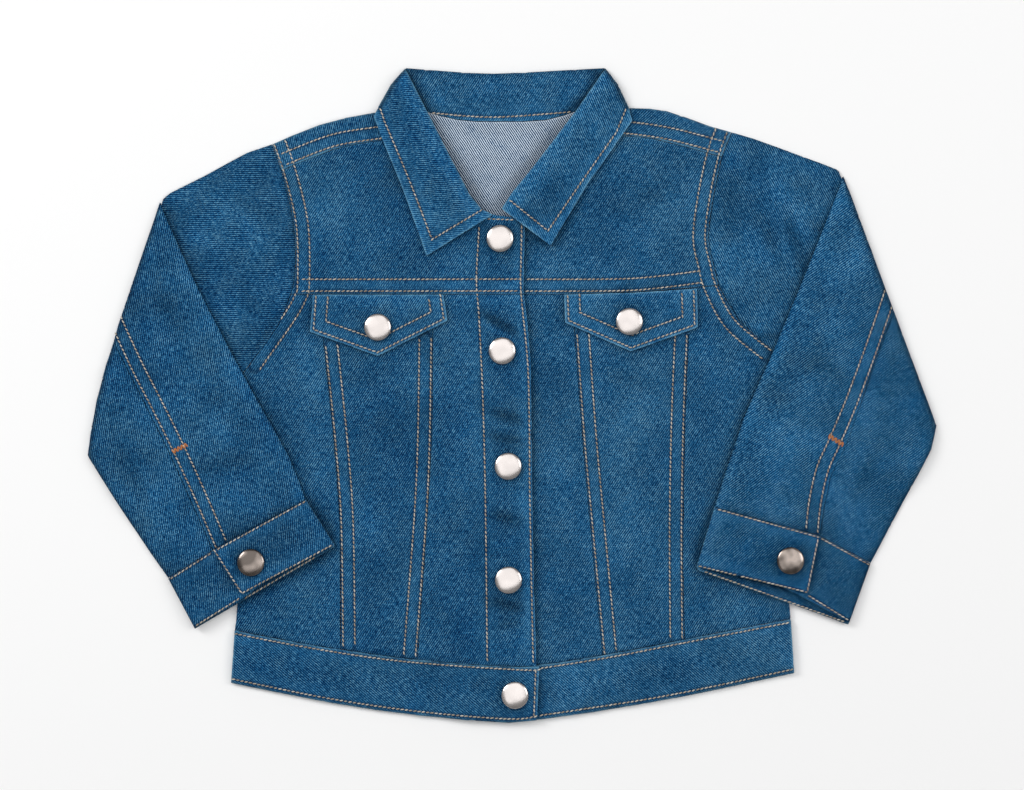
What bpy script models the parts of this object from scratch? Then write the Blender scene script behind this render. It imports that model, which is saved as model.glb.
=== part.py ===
"""A small child's denim jacket, buttoned and laid flat on its back with its sleeves folded forward.

The origin is under the middle of the jacket, on the surface it lies on. +X runs to the wearer's left,
+Y towards the collar and +Z up. Sizes are in millimetres and become metres only in the meshes.
Left and right are as seen from above, facing the front.
"""

import math

import bmesh
import bpy

MM = 0.001

# Cloth
CLOTH = 1.0  # one layer of denim
TURNED = 1.6  # two layers sewn and pressed together
SEAM_GAP = 0.3

# The net of level triangles that every piece bends along, so that stacked pieces stay parallel
CELL = 20.0
NET_X = 15.0  # a column of the net, clear of where the placket starts to climb
REACH = 1.45 * CELL  # corners this near a piece can lie in a cell that it touches
SLIVER = 0.4  # a cut this near a corner goes through it
CURVE_STEPS = 2  # straight pieces between two points of a curved line
CURVE_LEAST = 16.0  # nearer points are joined by one
STRAIGHT = 0.05  # the sine of a corner too slight to meet two moved edges at
ON_LINE = 1.0  # an edge whose middle is this near a line lies on it

# How the layers lie
LOFT = 1.6  # air between the back and the fronts
LOFT_RUN = 24.0  # it grows to this over such a width
SLEEVE_LOFT = 1.4
SLEEVE_RUN = 18.0
LET_DOWN = 20.0  # the folded sleeve comes down to the surface over this width
FOLD_INSET = 1.5  # inner layers stop this far inside a fold
FACING = 28.0  # width of the under front that is turned in
FACING_RUN = 13.0  # its wall thins to one layer over this width
CUFF_TUCK = 16.0  # a cuff's under end reaches this far beneath its button end
ROLL_RUN = 22.0  # from the collar's roll to where its leaf is two layers thick
ROLL_END = 30.0  # the roll flattens over this much of its front end
ABOVE_NECK = 190.0  # the silhouette is closed at this height above the collar

# Buttons, as shares of the cap's radius where not in millimetres
CAP_RADIUS = 7.5
CAP_RIM = 0.9  # the rim turns in below this height
CAP_SHOULDER = 1.4  # the dome starts at this height
CAP_HEIGHT = 2.6
CAP_BASE = 0.88
CAP_CROWN = 0.96
CAP_RINGS = 4
CAP_SEGMENTS = 20
CAP_CREASE = 40.0  # degrees; sharper edges of the cap stay sharp
CAP_TESTS = 16  # places round the cap where its height over the cloth is read
MERGE = 0.01


def between(p, q, r, s, t):
    """A smooth step from q to r, at t from 0 to 1, that also heeds the values before and after."""
    bend, twist = 2 * p - 5 * q + 4 * r - s, 3 * q - p - 3 * r + s
    return 0.5 * (2 * q + (r - p) * t + bend * t**2 + twist * t**3)


def curve(*points):
    """A smooth line through the points, each long stretch in CURVE_STEPS straight pieces."""
    ends = [points[0], *points, points[-1]]
    line = [points[0]]
    for a, b, c, d in zip(ends, ends[1:], ends[2:], ends[3:]):
        steps = CURVE_STEPS if math.dist(b, c) > CURVE_LEAST else 1
        for step in range(1, steps + 1):
            t = step / steps
            line.append(tuple(between(*places, t) for places in zip(a, b, c, d)))
    return line


# The under front's edge, hidden under the placket: one straight line from the neck to the hem
UNDER_TOP, UNDER_BOTTOM = (-21.5, 97.0), (-15.6, -178.0)


def under_edge(y):
    (ax, ay), (bx, by) = UNDER_TOP, UNDER_BOTTOM
    return ax + (y - ay) * (bx - ax) / (by - ay)


# Seams and edges of each side, each from its upper or inner end. Points are (x, y).
LEFT = {
    "shoulder_fold": curve((-131.9, 137.9), (-105.7, 148.6), (-76.2, 155.2), (-50.0, 157.0)),
    "neck_side": [(-50.0, 157.0), (-50.0, 143.0)],
    "shoulder_seam": curve((-126.6, 123.4), (-98.0, 134.9), (-74.0, 139.6), (-50.0, 143.0)),
    "neckline": curve((-50.0, 143.0), (-45.0, 122.0), (-29.0, 106.5), (-8.0, 98.6), (7.4, 97.0)),
    "armhole_top": [(-131.9, 137.9), (-126.6, 123.4)],
    "armhole_yoke": curve((-126.6, 123.4), (-121.7, 104.0), (-119.1, 86.5), (-119.2, 64.0), (-121.4, 55.4)),
    "armhole_side": curve((-121.4, 55.4), (-129.0, 37.6), (-143.0, 18.5), (-150.5, 8.0)),
    "yoke_at_side": [(-121.4, 55.4), (-105.9, 55.4)],
    "yoke_at_middle": [(-105.9, 55.4), (-43.0, 55.4)],
    "yoke_at_centre": [(-43.0, 55.4), (6.6, 55.4)],
    "front_edge_yoke": [(7.4, 97.0), (6.7, 75.0), (6.6, 55.4)],
    "front_edge": curve((6.6, 55.4), (10.5, 17.4), (11.2, -57.3), (13.5, -149.0)),
    "side_seam": curve((-150.5, 8.0), (-149.4, -60.0), (-150.6, -110.0), (-152.5, -129.4)),
    "outer_panel_seam": curve((-105.9, 55.4), (-103.4, 29.4), (-98.1, -21.0), (-94.5, -69.4),
                              (-94.0, -139.8)),
    "inner_panel_seam": curve((-43.0, 55.4), (-43.5, 32.2), (-44.1, -21.0), (-46.5, -65.3), (-52.0, -145.5)),
    "hem_at_side": curve((-152.5, -129.4), (-113.5, -136.8), (-94.0, -139.8)),
    "hem_at_middle": [(-94.0, -139.8), (-72.0, -143.1), (-52.0, -145.5)],
    "hem_at_centre": curve((-52.0, -145.5), (-24.0, -147.9), (4.1, -149.2), (13.5, -149.0)),
    "band_side": [(-152.5, -129.4), (-154.5, -158.3)],
    "band_bottom": curve((-154.5, -158.3), (-98.8, -169.4), (-50.4, -176.3), (-1.9, -180.2), (13.9, -178.7)),
    "band_end": [(15.0, -149.0), (13.9, -178.7)],
    "sleeve_top": curve((-131.9, 137.9), (-145.5, 133.3), (-169.1, 120.5), (-187.8, 111.2), (-193.7, 106.3)),
    "outer_fold": curve((-193.7, 106.3), (-197.0, 96.0), (-216.4, 39.0), (-228.5, -3.0), (-233.5, -33.3)),
    "underarm": [(-233.5, -33.3), (-150.5, 8.0)],
    "forearm_edge": curve((-193.7, 106.3), (-174.1, 62.6), (-154.4, 24.3), (-139.6, -3.0), (-122.2, -33.8),
                          (-113.0, -57.3)),
    "forearm_lower": curve((-233.5, -33.3), (-217.5, -58.8), (-199.4, -86.1), (-189.0, -100.8)),
    "back_seam": curve((-219.0, 29.6), (-208.6, 9.6), (-188.3, -31.0), (-174.8, -61.2), (-164.0, -85.2)),
    "cuff_seam_over": [(-113.0, -57.3), (-164.0, -85.2)],
    "cuff_seam_under": [(-164.0, -85.2), (-189.0, -100.8)],
    "cuff_inner_end": [(-113.0, -57.3), (-97.1, -82.3)],
    "cuff_over_bottom": [(-97.1, -82.3), (-123.5, -96.0), (-148.4, -109.7)],
    "cuff_overlap": [(-164.0, -85.2), (-148.4, -109.7)],
    "cuff_under_bottom": [(-148.4, -112.2), (-174.6, -127.9)],
    "cuff_outer_end": [(-189.0, -100.8), (-174.6, -127.9)],
    "cuff_far_bottom": [(-97.6, -83.6), (-174.2, -128.6)],
    "flap": [(-109.2, 55.1), (-110.8, 34.7), (-73.7, 21.4), (-35.5, 40.8), (-37.7, 55.1)],
    "leaf_top": [(-73.4, 158.9), (-66.5, 171.0), (-58.6, 179.8)],
    "roll": curve((-58.6, 179.8), (-46.5, 155.9), (-22.8, 109.5), (-16.6, 102.1), (-10.2, 99.0)),
    "leaf_bottom": [(-10.2, 99.0), (-47.0, 76.1)],
    "leaf_outer": curve((-47.0, 76.1), (-60.5, 114.0), (-76.0, 152.6), (-73.4, 158.9)),
    "flap_button": (-73.7, 37.2),
    "cuff_button": (-143.1, -91.8),
}
RIGHT = {
    "shoulder_fold": curve((120.6, 144.6), (108.1, 148.1), (84.7, 156.2), (66.4, 157.7), (42.0, 158.0)),
    "neck_side": [(42.0, 158.0), (42.0, 144.6)],
    "shoulder_seam": curve((115.2, 130.9), (79.3, 140.4), (62.2, 142.2), (42.0, 144.6)),
    "neckline": curve((42.0, 144.6), (36.0, 122.0), (24.0, 107.5), (8.0, 98.6), UNDER_TOP),
    "armhole_top": [(120.6, 144.6), (115.2, 130.9)],
    "armhole_yoke": curve((115.2, 130.9), (110.8, 109.7), (107.7, 86.5), (111.2, 69.6), (113.4, 60.4)),
    "armhole_side": curve((113.4, 60.4), (124.6, 41.0), (141.0, 26.5), (150.5, 15.5)),
    "yoke_at_side": [(113.4, 60.4), (98.1, 58.8)],
    "yoke_at_middle": [(98.1, 58.8), (66.0, 56.4), (32.8, 55.4)],
    "yoke_at_centre": [(32.8, 55.4), (under_edge(55.4), 55.4)],
    "front_edge_yoke": [UNDER_TOP, (under_edge(55.4), 55.4)],
    "front_edge": [(under_edge(55.4), 55.4), (under_edge(-148.4), -148.4)],
    "side_seam": curve((150.5, 15.5), (150.0, -50.0), (151.5, -100.0), (153.3, -123.2)),
    "outer_panel_seam": curve((98.1, 58.8), (97.1, 33.9), (95.0, -16.2), (93.8, -91.0), (94.9, -134.4)),
    "inner_panel_seam": curve((32.8, 55.4), (34.4, 34.3), (38.6, -21.0), (42.7, -67.8), (49.8, -143.0)),
    "hem_at_side": [(153.3, -123.2), (124.0, -128.6), (94.9, -134.4)],
    "hem_at_middle": [(94.9, -134.4), (72.0, -139.0), (49.8, -143.0)],
    "hem_at_centre": curve((49.8, -143.0), (32.0, -145.9), (15.7, -148.0), (under_edge(-148.4), -148.4)),
    "band_side": [(153.3, -123.2), (155.2, -152.9)],
    "band_bottom": curve((155.2, -152.9), (112.0, -162.2), (71.2, -170.0), (15.7, -178.4), UNDER_BOTTOM),
    "band_end": [(under_edge(-148.4), -148.4), UNDER_BOTTOM],
    "sleeve_top": curve((120.6, 144.6), (132.6, 141.1), (158.1, 131.8), (178.8, 124.0), (182.2, 120.5)),
    "outer_fold": curve((182.2, 120.5), (186.0, 111.0), (206.0, 57.0), (228.4, -3.0), (233.5, -16.8)),
    "underarm": [(233.5, -16.8), (150.5, 15.5)],
    "forearm_edge": curve((182.2, 120.5), (162.0, 69.5), (143.4, 24.3), (127.0, -13.0), (111.0, -61.4)),
    "forearm_lower": curve((233.5, -16.8), (230.4, -30.1), (214.0, -61.0), (197.2, -92.6)),
    "back_seam": curve((209.8, 46.8), (199.2, 19.0), (183.3, -27.8), (174.4, -46.0), (168.9, -77.4)),
    "cuff_seam_over": [(111.0, -61.4), (168.9, -77.4)],
    "cuff_seam_under": [(168.9, -77.4), (197.2, -92.6)],
    "cuff_inner_end": [(111.0, -61.4), (101.1, -94.2)],
    "cuff_over_bottom": [(101.1, -94.2), (132.0, -101.2), (162.4, -109.0)],
    "cuff_overlap": [(168.9, -77.4), (162.4, -109.0)],
    "cuff_under_bottom": [(162.0, -112.4), (185.4, -125.0)],
    "cuff_outer_end": [(197.2, -92.6), (185.4, -125.0)],
    "cuff_far_bottom": [(102.6, -96.6), (184.6, -126.2)],
    "flap": [(28.7, 55.1), (29.3, 39.7), (65.3, 24.0), (102.0, 37.2), (101.5, 58.3), (66.0, 56.1)],
    "leaf_top": [(64.0, 158.9), (58.5, 170.5), (51.3, 179.8)],
    "roll": curve((51.3, 179.8), (35.5, 156.9), (11.0, 124.5), (0.3, 111.6), (-6.0, 102.1)),
    "leaf_bottom": [(-6.0, 102.1), (21.3, 81.6)],
    "leaf_outer": curve((21.3, 81.6), (42.5, 117.0), (66.1, 150.5), (64.0, 158.9)),
    "flap_button": (64.4, 40.3),
    "cuff_button": (152.6, -90.8),
}
SIDES = {"left": LEFT, "right": RIGHT}

# The collar behind the neck
NECK_SEAM = curve((-46.2, 155.4), (-30.0, 151.2), (-10.2, 150.2), (18.0, 151.0), (34.9, 155.9))
ROLL_BACK = curve((-58.6, 179.8), (-35.0, 178.0), (-10.2, 176.7), (25.0, 178.4), (51.3, 179.8))
FALL_LOWER = curve((-74.0, 155.0), (-40.0, 147.0), (-8.0, 143.5), (30.0, 147.0), (64.0, 156.0))

# The seam between the back and its hem band
BACK_HEM = [LEFT["side_seam"][-1], (-94.0, -139.8), (4.1, -149.2), (94.9, -134.4), RIGHT["side_seam"][-1]]

FRONT_BUTTONS = [(-6.6, 85.8), (-5.4, 24.2), (-2.1, -39.1), (-1.9, -101.5), (1.6, -164.7)]


def ease(t):
    """Rises smoothly from 0 to 1 as t does."""
    t = min(max(t, 0.0), 1.0)
    return t * t * (3.0 - 2.0 * t)


def distance_to(line, x, y):
    """Distance from (x, y) to a line of straight pieces."""
    nearest = math.inf
    for (ax, ay), (bx, by) in zip(line, line[1:]):
        dx, dy = bx - ax, by - ay
        along = ((x - ax) * dx + (y - ay) * dy) / (dx * dx + dy * dy)
        along = min(max(along, 0.0), 1.0)
        nearest = min(nearest, math.hypot(x - ax - along * dx, y - ay - along * dy))
    return nearest


def depth_in(outline, x, y):
    """Distance from (x, y) to a closed outline: positive inside it, negative outside."""
    closed = [*outline, outline[0]]
    inside = False
    for (ax, ay), (bx, by) in zip(closed, closed[1:]):
        if (ay > y) != (by > y) and x < ax + (y - ay) * (bx - ax) / (by - ay):
            inside = not inside
    distance = distance_to(closed, x, y)
    return distance if inside else -distance


def x_at(line, y):
    """The x of a line that runs down, at height y."""
    for (ax, ay), (bx, by) in zip(line, line[1:]):
        if y >= by:
            return ax + (min(y, ay) - ay) * (bx - ax) / (by - ay)
    return line[-1][0]


def loop(*lines):
    """A closed outline along the lines, each turned round where that joins it to the last one."""
    points = list(lines[0])
    if points[0] in (lines[1][0], lines[1][-1]):
        points.reverse()
    for line in lines[1:]:
        gap_to_start = math.dist(points[-1], line[0])
        gap_to_end = math.dist(points[-1], line[-1])
        following = list(line) if gap_to_start <= gap_to_end else list(line)[::-1]
        points += following[1:] if math.dist(points[-1], following[0]) < SEAM_GAP else following
    if math.dist(points[0], points[-1]) < SEAM_GAP:
        points.pop()
    return points


def taken_in(outline, amount):
    """The outline with each edge moved in. amount is a width, or a function of the edge's middle."""
    count = len(outline)
    area = sum(
        outline[i - 1][0] * outline[i][1] - outline[i][0] * outline[i - 1][1] for i in range(count)
    )
    turn = 1.0 if area > 0 else -1.0
    edges = []
    for i in range(count):
        (ax, ay), (bx, by) = outline[i - 1], outline[i]
        length = math.hypot(bx - ax, by - ay)
        by_how_much = amount((ax + bx) / 2, (ay + by) / 2) if callable(amount) else amount
        nx, ny = -turn * (by - ay) / length, turn * (bx - ax) / length
        edges.append((ax + nx * by_how_much, ay + ny * by_how_much, (bx - ax) / length, (by - ay) / length))
    moved = []
    for i in range(count):
        px, py, ux, uy = edges[i]
        qx, qy, vx, vy = edges[(i + 1) % count]
        cross = ux * vy - uy * vx
        if abs(cross) < STRAIGHT:
            nearest = (outline[i][0] - px) * ux + (outline[i][1] - py) * uy
            moved.append((px + ux * nearest, py + uy * nearest))
            continue
        along = ((qx - px) * vy - (qy - py) * vx) / cross
        moved.append((px + ux * along, py + uy * along))
    return moved


# The silhouette of what lies lowest: body and upper arms, closed above the neck.
LOWER_STOREY = [
    *LEFT["sleeve_top"][::-1],
    *LEFT["shoulder_fold"][1:-1],
    (-60.0, ABOVE_NECK),
    (52.0, ABOVE_NECK),
    *RIGHT["shoulder_fold"][-2:0:-1],
    *RIGHT["sleeve_top"],
    *RIGHT["outer_fold"][1:],
    *RIGHT["side_seam"],
    *RIGHT["band_bottom"][:-3],
    *LEFT["band_bottom"][-2::-1],
    *LEFT["side_seam"][::-1],
    *LEFT["outer_fold"][::-1][:-1],
]
FALL = loop(FALL_LOWER, RIGHT["leaf_top"], ROLL_BACK, LEFT["leaf_top"])
PLACKET_EDGE = LEFT["front_edge_yoke"] + LEFT["front_edge"]


def on_net(rest):
    """Reads rest(x, y) at the net's corners only, and runs level between them."""
    known = {}

    def corner(column, row):
        if (column, row) not in known:
            known[column, row] = rest(NET_X + column * CELL, row * CELL)
        return known[column, row]

    def height(x, y):
        u, v = (x - NET_X) / CELL, y / CELL
        column, row = math.floor(u), math.floor(v)
        u, v = u - column, v - row
        right, above = corner(column + 1, row), corner(column, row + 1)
        if u + v <= 1.0:
            return corner(column, row) * (1.0 - u - v) + right * u + above * v
        return corner(column + 1, row + 1) * (u + v - 1.0) + right * (1.0 - v) + above * (1.0 - u)

    return height


def beside(outline, x, y, run):
    """1 over an outline and wherever a cell may touch it, and down to 0 over the run beyond that."""
    return ease(1.0 + (depth_in(outline, x, y) + REACH) / run)


@on_net
def lifted(x, y):
    """The back, and all on it, is raised near the neck by the collar's fall behind it."""
    return (TURNED + SEAM_GAP) * beside(FALL, x, y, LOFT_RUN)


@on_net
def front_rest(x, y):
    """Underside of the fronts: on the back at the side folds, with air between them further in."""
    further_in = ease((depth_in(LOWER_STOREY, x, y) - CELL / 2) / LOFT_RUN)
    return lifted(x, y) + CLOTH + SEAM_GAP + LOFT * further_in


@on_net
def over_lap(x, y):
    """1 where the left front has climbed onto the right one, and to the right of that."""
    return 1.0 if x > under_edge(y) - CELL - SEAM_GAP else 0.0


@on_net
def placket(x, y):
    """1 where both fronts may lie below, and 0 on either side of the placket."""
    return over_lap(x, y) if x < x_at(PLACKET_EDGE, y) + CELL else 0.0


def over_front_rest(x, y):
    return front_rest(x, y) + (TURNED + SEAM_GAP) * over_lap(x, y)


def over_front_wall(x, y):
    """The placket is turned in and doubled."""
    return CLOTH + (TURNED - CLOTH) * over_lap(x, y)


@on_net
def under_front_wall(x, y):
    """The under front's facing is turned in beneath the placket."""
    return TURNED + (CLOTH - TURNED) * ease((x - under_edge(y) - FACING + FACING_RUN) / FACING_RUN)


def front_top(x, y):
    return front_rest(x, y) + CLOTH + (2 * TURNED + SEAM_GAP - CLOTH) * placket(x, y)


def on_fronts(x, y):
    return front_top(x, y) + SEAM_GAP


@on_net
def folded_rest(x, y):
    """Underside of the folded sleeve: on the body and the upper arm, and down to the surface beside them."""
    return (front_rest(x, y) + CLOTH + SEAM_GAP) * beside(LOWER_STOREY, x, y, LET_DOWN)


@on_net
def band_rest(x, y):
    return max(front_rest(x, y) - SEAM_GAP, TURNED + SEAM_GAP)


def over_band_rest(x, y):
    return band_rest(x, y) + (TURNED + SEAM_GAP) * over_lap(x, y)


def band_button_rest(x, y):
    return over_band_rest(x, y) + TURNED + SEAM_GAP


def material(name, colour, roughness, metallic=0.0):
    made = bpy.data.materials.new(name)
    made.use_nodes = True
    shader = made.node_tree.nodes["Principled BSDF"]
    shader.inputs["Base Color"].default_value = (*colour, 1.0)
    shader.inputs["Roughness"].default_value = roughness
    shader.inputs["Metallic"].default_value = metallic
    return made


def add_object(name, bm, finish, parent):
    """Makes the bmesh an object under the jacket's empty."""
    mesh = bpy.data.meshes.new(name)
    bm.to_mesh(mesh)
    bm.free()
    mesh.materials.append(finish)
    made = bpy.data.objects.new(name, mesh)
    bpy.context.collection.objects.link(made)
    made.parent = parent
    return made


def fold_line(bm, point, across):
    """Cuts all the faces along a line through the point, so that they can bend there."""
    geometry = bm.verts[:] + bm.edges[:] + bm.faces[:]
    place = (point[0] * MM, point[1] * MM, 0.0)
    bmesh.ops.bisect_plane(bm, geom=geometry, dist=SLIVER * MM, plane_co=place, plane_no=(*across, 0.0))


def cut_to_net(bm, outline):
    """Cuts the faces along the net's columns, rows and diagonals."""
    for across in ((1.0, 0.0), (0.0, 1.0), (1.0, 1.0)):
        steps = [((x - NET_X) * across[0] + y * across[1]) / CELL for x, y in outline]
        for line in range(math.ceil(min(steps)), math.ceil(max(steps))):
            along = (NET_X + line * CELL, 0.0) if across[0] else (NET_X, line * CELL)
            fold_line(bm, along, across)


def cloth(name, outline, underside, wall, finish, parent):
    """A piece of cloth on its outline, laid on its underside and given its wall.

    underside and wall are each one height or a function of (x, y).
    """
    bm = bmesh.new()
    bm.faces.new([bm.verts.new((x * MM, y * MM, 0.0)) for x, y in outline])
    if callable(underside):
        cut_to_net(bm, outline)
    bmesh.ops.triangulate(bm, faces=bm.faces[:])
    bottom = bm.verts[:]
    raised = bmesh.ops.extrude_face_region(bm, geom=bm.faces[:])
    top = [part for part in raised["geom"] if isinstance(part, bmesh.types.BMVert)]
    for verts, above in ((bottom, 0.0), (top, 1.0)):
        for vert in verts:
            x, y = vert.co.x / MM, vert.co.y / MM
            low = underside(x, y) if callable(underside) else underside
            thick = wall(x, y) if callable(wall) else wall
            vert.co.z = (low + above * thick) * MM
    bmesh.ops.triangulate(bm, faces=bm.faces[:])
    bmesh.ops.recalc_face_normals(bm, faces=bm.faces[:])
    if bm.calc_volume(signed=True) < 0.0:
        bmesh.ops.reverse_faces(bm, faces=bm.faces[:])
    add_object(name, bm, finish, parent)


def lying_height(rest, x, y):
    """Lowest height at which a cap clears the cloth under it."""
    highest = rest(x, y)
    for test in range(CAP_TESTS):
        angle = math.tau * test / CAP_TESTS
        for reach in (CAP_RADIUS / 2, CAP_RADIUS):
            highest = max(highest, rest(x + reach * math.cos(angle), y + reach * math.sin(angle)))
    return highest


def button(name, place, rest, finish, parent):
    """A domed metal cap, turned from its profile, lying on the cloth."""
    profile = [(CAP_RADIUS * CAP_BASE, 0.0), (CAP_RADIUS, CAP_RIM), (CAP_RADIUS * CAP_CROWN, CAP_SHOULDER)]
    for ring in range(1, CAP_RINGS):
        angle = math.radians(90.0) * (1.0 - ring / (CAP_RINGS - 1))
        dome = (CAP_HEIGHT - CAP_SHOULDER) * math.cos(angle)
        profile.append((CAP_RADIUS * CAP_CROWN * math.sin(angle), CAP_SHOULDER + dome))
    bm = bmesh.new()
    points = [bm.verts.new((radius * MM, 0.0, rise * MM)) for radius, rise in profile]
    points.insert(0, bm.verts.new((0.0, 0.0, 0.0)))
    for a, b in zip(points, points[1:]):
        bm.edges.new((a, b))
    bmesh.ops.spin(
        bm,
        geom=bm.verts[:] + bm.edges[:],
        cent=(0.0, 0.0, 0.0),
        axis=(0.0, 0.0, 1.0),
        angle=math.tau,
        steps=CAP_SEGMENTS,
        use_merge=True,
    )
    bmesh.ops.remove_doubles(bm, verts=bm.verts[:], dist=MERGE * MM)
    bmesh.ops.triangulate(bm, faces=bm.faces[:])
    bmesh.ops.recalc_face_normals(bm, faces=bm.faces[:])
    made = add_object(name, bm, finish, parent)
    made.data.shade_smooth()
    made.data.set_sharp_from_angle(angle=math.radians(CAP_CREASE))
    made.location = (place[0] * MM, place[1] * MM, lying_height(rest, *place) * MM)


def build_back(denim, jacket):
    """The back, cut in one, and the strips along its shoulders that are turned over to the fronts."""
    outline = loop(
        LEFT["shoulder_fold"],
        [LEFT["shoulder_fold"][-1], *NECK_SEAM, RIGHT["shoulder_fold"][-1]],
        RIGHT["shoulder_fold"],
        RIGHT["armhole_top"],
        RIGHT["armhole_yoke"],
        RIGHT["armhole_side"],
        RIGHT["side_seam"],
        BACK_HEM[::-1],
        LEFT["side_seam"],
        LEFT["armhole_side"],
        LEFT["armhole_yoke"],
        LEFT["armhole_top"],
    )
    cloth("back", taken_in(outline, SEAM_GAP / 2), lifted, CLOTH, denim, jacket)
    for name, side in SIDES.items():
        fold, seam = side["shoulder_fold"], side["shoulder_seam"]
        strip = taken_in(loop(fold, side["neck_side"], seam, side["armhole_top"]), SEAM_GAP / 2)
        cloth("shoulder_strip_" + name, strip, front_rest, CLOTH, denim, jacket)


def build_fronts(denim, jacket):
    """Each front: a yoke, and side, middle and centre panels below it."""
    pieces = {
        "front_yoke_": (
            "shoulder_seam",
            "neckline",
            "front_edge_yoke",
            "yoke_at_centre",
            "yoke_at_middle",
            "yoke_at_side",
            "armhole_yoke",
        ),
        "side_panel_": ("armhole_side", "side_seam", "hem_at_side", "outer_panel_seam", "yoke_at_side"),
        "middle_panel_": ("outer_panel_seam", "hem_at_middle", "inner_panel_seam", "yoke_at_middle"),
        "centre_panel_": ("inner_panel_seam", "hem_at_centre", "front_edge", "yoke_at_centre"),
    }
    layers = {"left": (over_front_rest, over_front_wall), "right": (front_rest, under_front_wall)}
    for name, side in SIDES.items():
        for piece, lines in pieces.items():
            outline = taken_in(loop(*(side[line] for line in lines)), SEAM_GAP / 2)
            cloth(piece + name, outline, *layers[name], denim, jacket)


def build_flaps(denim, metal, jacket):
    """A pointed flap on each front, sewn in at the yoke seam and buttoned."""
    for name, side in SIDES.items():
        cloth("pocket_flap_" + name, side["flap"], on_fronts, TURNED, denim, jacket)
        button(
            "button_flap_" + name,
            side["flap_button"],
            lambda x, y: on_fronts(x, y) + TURNED + SEAM_GAP,
            metal,
            jacket,
        )


def build_hem_band(denim, jacket):
    """One doubled strip round the hem, its left end over its right end."""
    rests = {"left": over_band_rest, "right": band_rest}
    for name, side in SIDES.items():
        top = side["hem_at_side"] + side["hem_at_middle"][1:] + side["hem_at_centre"][1:]
        outline = loop([*top, side["band_end"][0]], side["band_end"], side["band_bottom"], side["band_side"])
        cloth("hem_band_" + name, taken_in(outline, SEAM_GAP / 2), rests[name], TURNED, denim, jacket)
    bottom = LEFT["band_bottom"][:-1] + RIGHT["band_bottom"][-3::-1]
    outline = loop(BACK_HEM, RIGHT["band_side"], bottom, LEFT["band_side"])
    cloth("hem_band_back", taken_in(outline, SEAM_GAP / 2), 0.0, TURNED, denim, jacket)


def build_collar(denim, jacket):
    """A doubled collar turned down at its roll: the stand in the neck, the fall behind, and two leaves."""
    fall = taken_in(FALL, lambda x, y: SEAM_GAP if distance_to(FALL_LOWER, x, y) < ON_LINE else FOLD_INSET)
    cloth("collar_fall", fall, 0.0, TURNED, denim, jacket)
    behind = 1 + CURVE_STEPS  # the first points of a roll run behind the neck
    stand = loop(NECK_SEAM, RIGHT["roll"][:behind], ROLL_BACK, LEFT["roll"][:behind])
    cloth("collar_stand", taken_in(stand, SEAM_GAP / 2), TURNED + SEAM_GAP, TURNED, denim, jacket)
    for name, side in SIDES.items():
        outline = loop(side["leaf_top"], side["roll"], side["leaf_bottom"], side["leaf_outer"])

        def leaf_wall(x, y, roll=side["roll"]):
            """Near the roll the leaf holds the stand that is hidden under it."""
            near_roll = 1.0 - ease(distance_to(roll, x, y) / ROLL_RUN)
            flat_end = ease(math.dist((x, y), roll[-1]) / ROLL_END)
            return TURNED + (TURNED + SEAM_GAP) * near_roll * flat_end

        leaf = taken_in(outline, SEAM_GAP / 2)
        cloth("collar_leaf_" + name, leaf, on_fronts, leaf_wall, denim, jacket)


def build_upper_arm(name, side, denim, jacket):
    """The upper arm's two layers."""
    armhole = side["armhole_top"] + side["armhole_yoke"][1:] + side["armhole_side"][1:]
    outline = loop(armhole, side["sleeve_top"], side["outer_fold"], side["underarm"])

    def inner_layer(x, y):
        return SEAM_GAP / 2 if distance_to(armhole, x, y) < ON_LINE else FOLD_INSET

    def outer_layer(x, y):
        return FOLD_INSET if distance_to(side["outer_fold"], x, y) < ON_LINE else SEAM_GAP / 2

    cloth("sleeve_under_" + name, taken_in(outline, inner_layer), 0.0, CLOTH, denim, jacket)
    upper = taken_in(outline, outer_layer)
    cloth("upper_sleeve_" + name, upper, front_rest, CLOTH, denim, jacket)


def build_forearm(name, side, denim, jacket):
    """The forearm, folded forward: its under layer, and on top the two pieces that meet at the back seam."""
    cuff_seams = side["cuff_seam_over"] + side["cuff_seam_under"][1:]
    outline = loop(side["forearm_edge"], cuff_seams, side["forearm_lower"], side["outer_fold"])

    def under_layer(x, y):
        return SEAM_GAP / 2 if distance_to(cuff_seams, x, y) < ON_LINE else FOLD_INSET

    @on_net
    def lofted(x, y):
        loft = SLEEVE_LOFT * ease(depth_in(outline, x, y) / SLEEVE_RUN)
        return folded_rest(x, y) + CLOTH + SEAM_GAP + loft

    cloth("forearm_under_" + name, taken_in(outline, under_layer), folded_rest, CLOTH, denim, jacket)
    seam = side["back_seam"]
    above = [point for point in side["outer_fold"] if point[1] > seam[0][1]]
    below = side["outer_fold"][len(above) :]
    inner_piece = loop(side["forearm_edge"], side["cuff_seam_over"], seam, [*above, seam[0]])
    outer_piece = loop(seam, side["cuff_seam_under"], side["forearm_lower"], [seam[0], *below])
    for piece, lines in (("forearm_inner_", inner_piece), ("forearm_outer_", outer_piece)):
        cloth(piece + name, taken_in(lines, SEAM_GAP / 2), lofted, CLOTH, denim, jacket)


def tucked(line):
    """The point a tuck's width back from the line's last one."""
    (ax, ay), (bx, by) = line[-2:]
    share = CUFF_TUCK / math.dist((ax, ay), (bx, by))
    return bx + (ax - bx) * share, by + (ay - by) * share


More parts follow.
